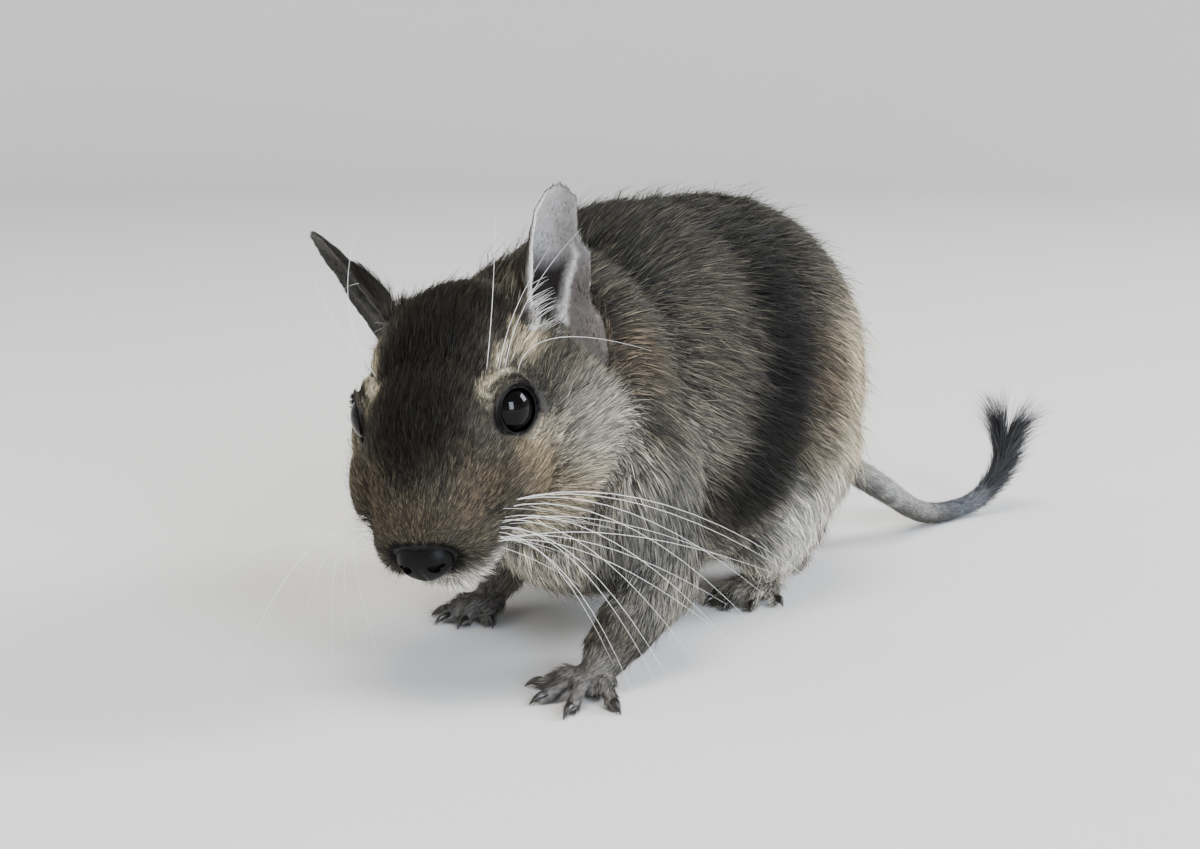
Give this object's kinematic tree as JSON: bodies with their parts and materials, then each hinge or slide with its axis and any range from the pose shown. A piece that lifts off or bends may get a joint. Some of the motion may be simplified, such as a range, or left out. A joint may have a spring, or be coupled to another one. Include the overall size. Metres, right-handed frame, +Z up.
{
  "type": "degu",
  "caption": "Life-size degu crouching on the floor with its head lowered and turned, ears up and the brush-tipped tail curled up behind.",
  "frame": {"origin": "bottom centre of the bounding box, at the level of the soles", "axes": "+Z up, the nose points towards -Y and the tail towards +Y, +X is the animal's left"},
  "size_m": [0.0626, 0.183, 0.0762],
  "materials": {
    "coat": "short agouti fur",
    "ear_skin": "thin bare skin with fine down",
    "foot_hair": "fine pale grey hair over dark skin",
    "eye": "wet black",
    "tail_hair": "short grey hair",
    "tail_brush": "long black hair"
  },
  "bodies": {
    "root": {"head": "coat", "neck": "coat", "torso": "coat", "foreleg_left": "coat", "foreleg_right": "coat", "hindleg_left": "coat", "hindleg_right": "coat", "forefoot_left": "foot_hair", "forefoot_right": "foot_hair", "hindfoot_left": "foot_hair", "hindfoot_right": "foot_hair", "ear_left": "ear_skin", "ear_right": "ear_skin", "eye_left": "eye", "eye_right": "eye", "tail_base": "tail_hair", "tail_mid": "tail_hair", "tail_brush": "tail_brush"}
  },
  "joints": []
}
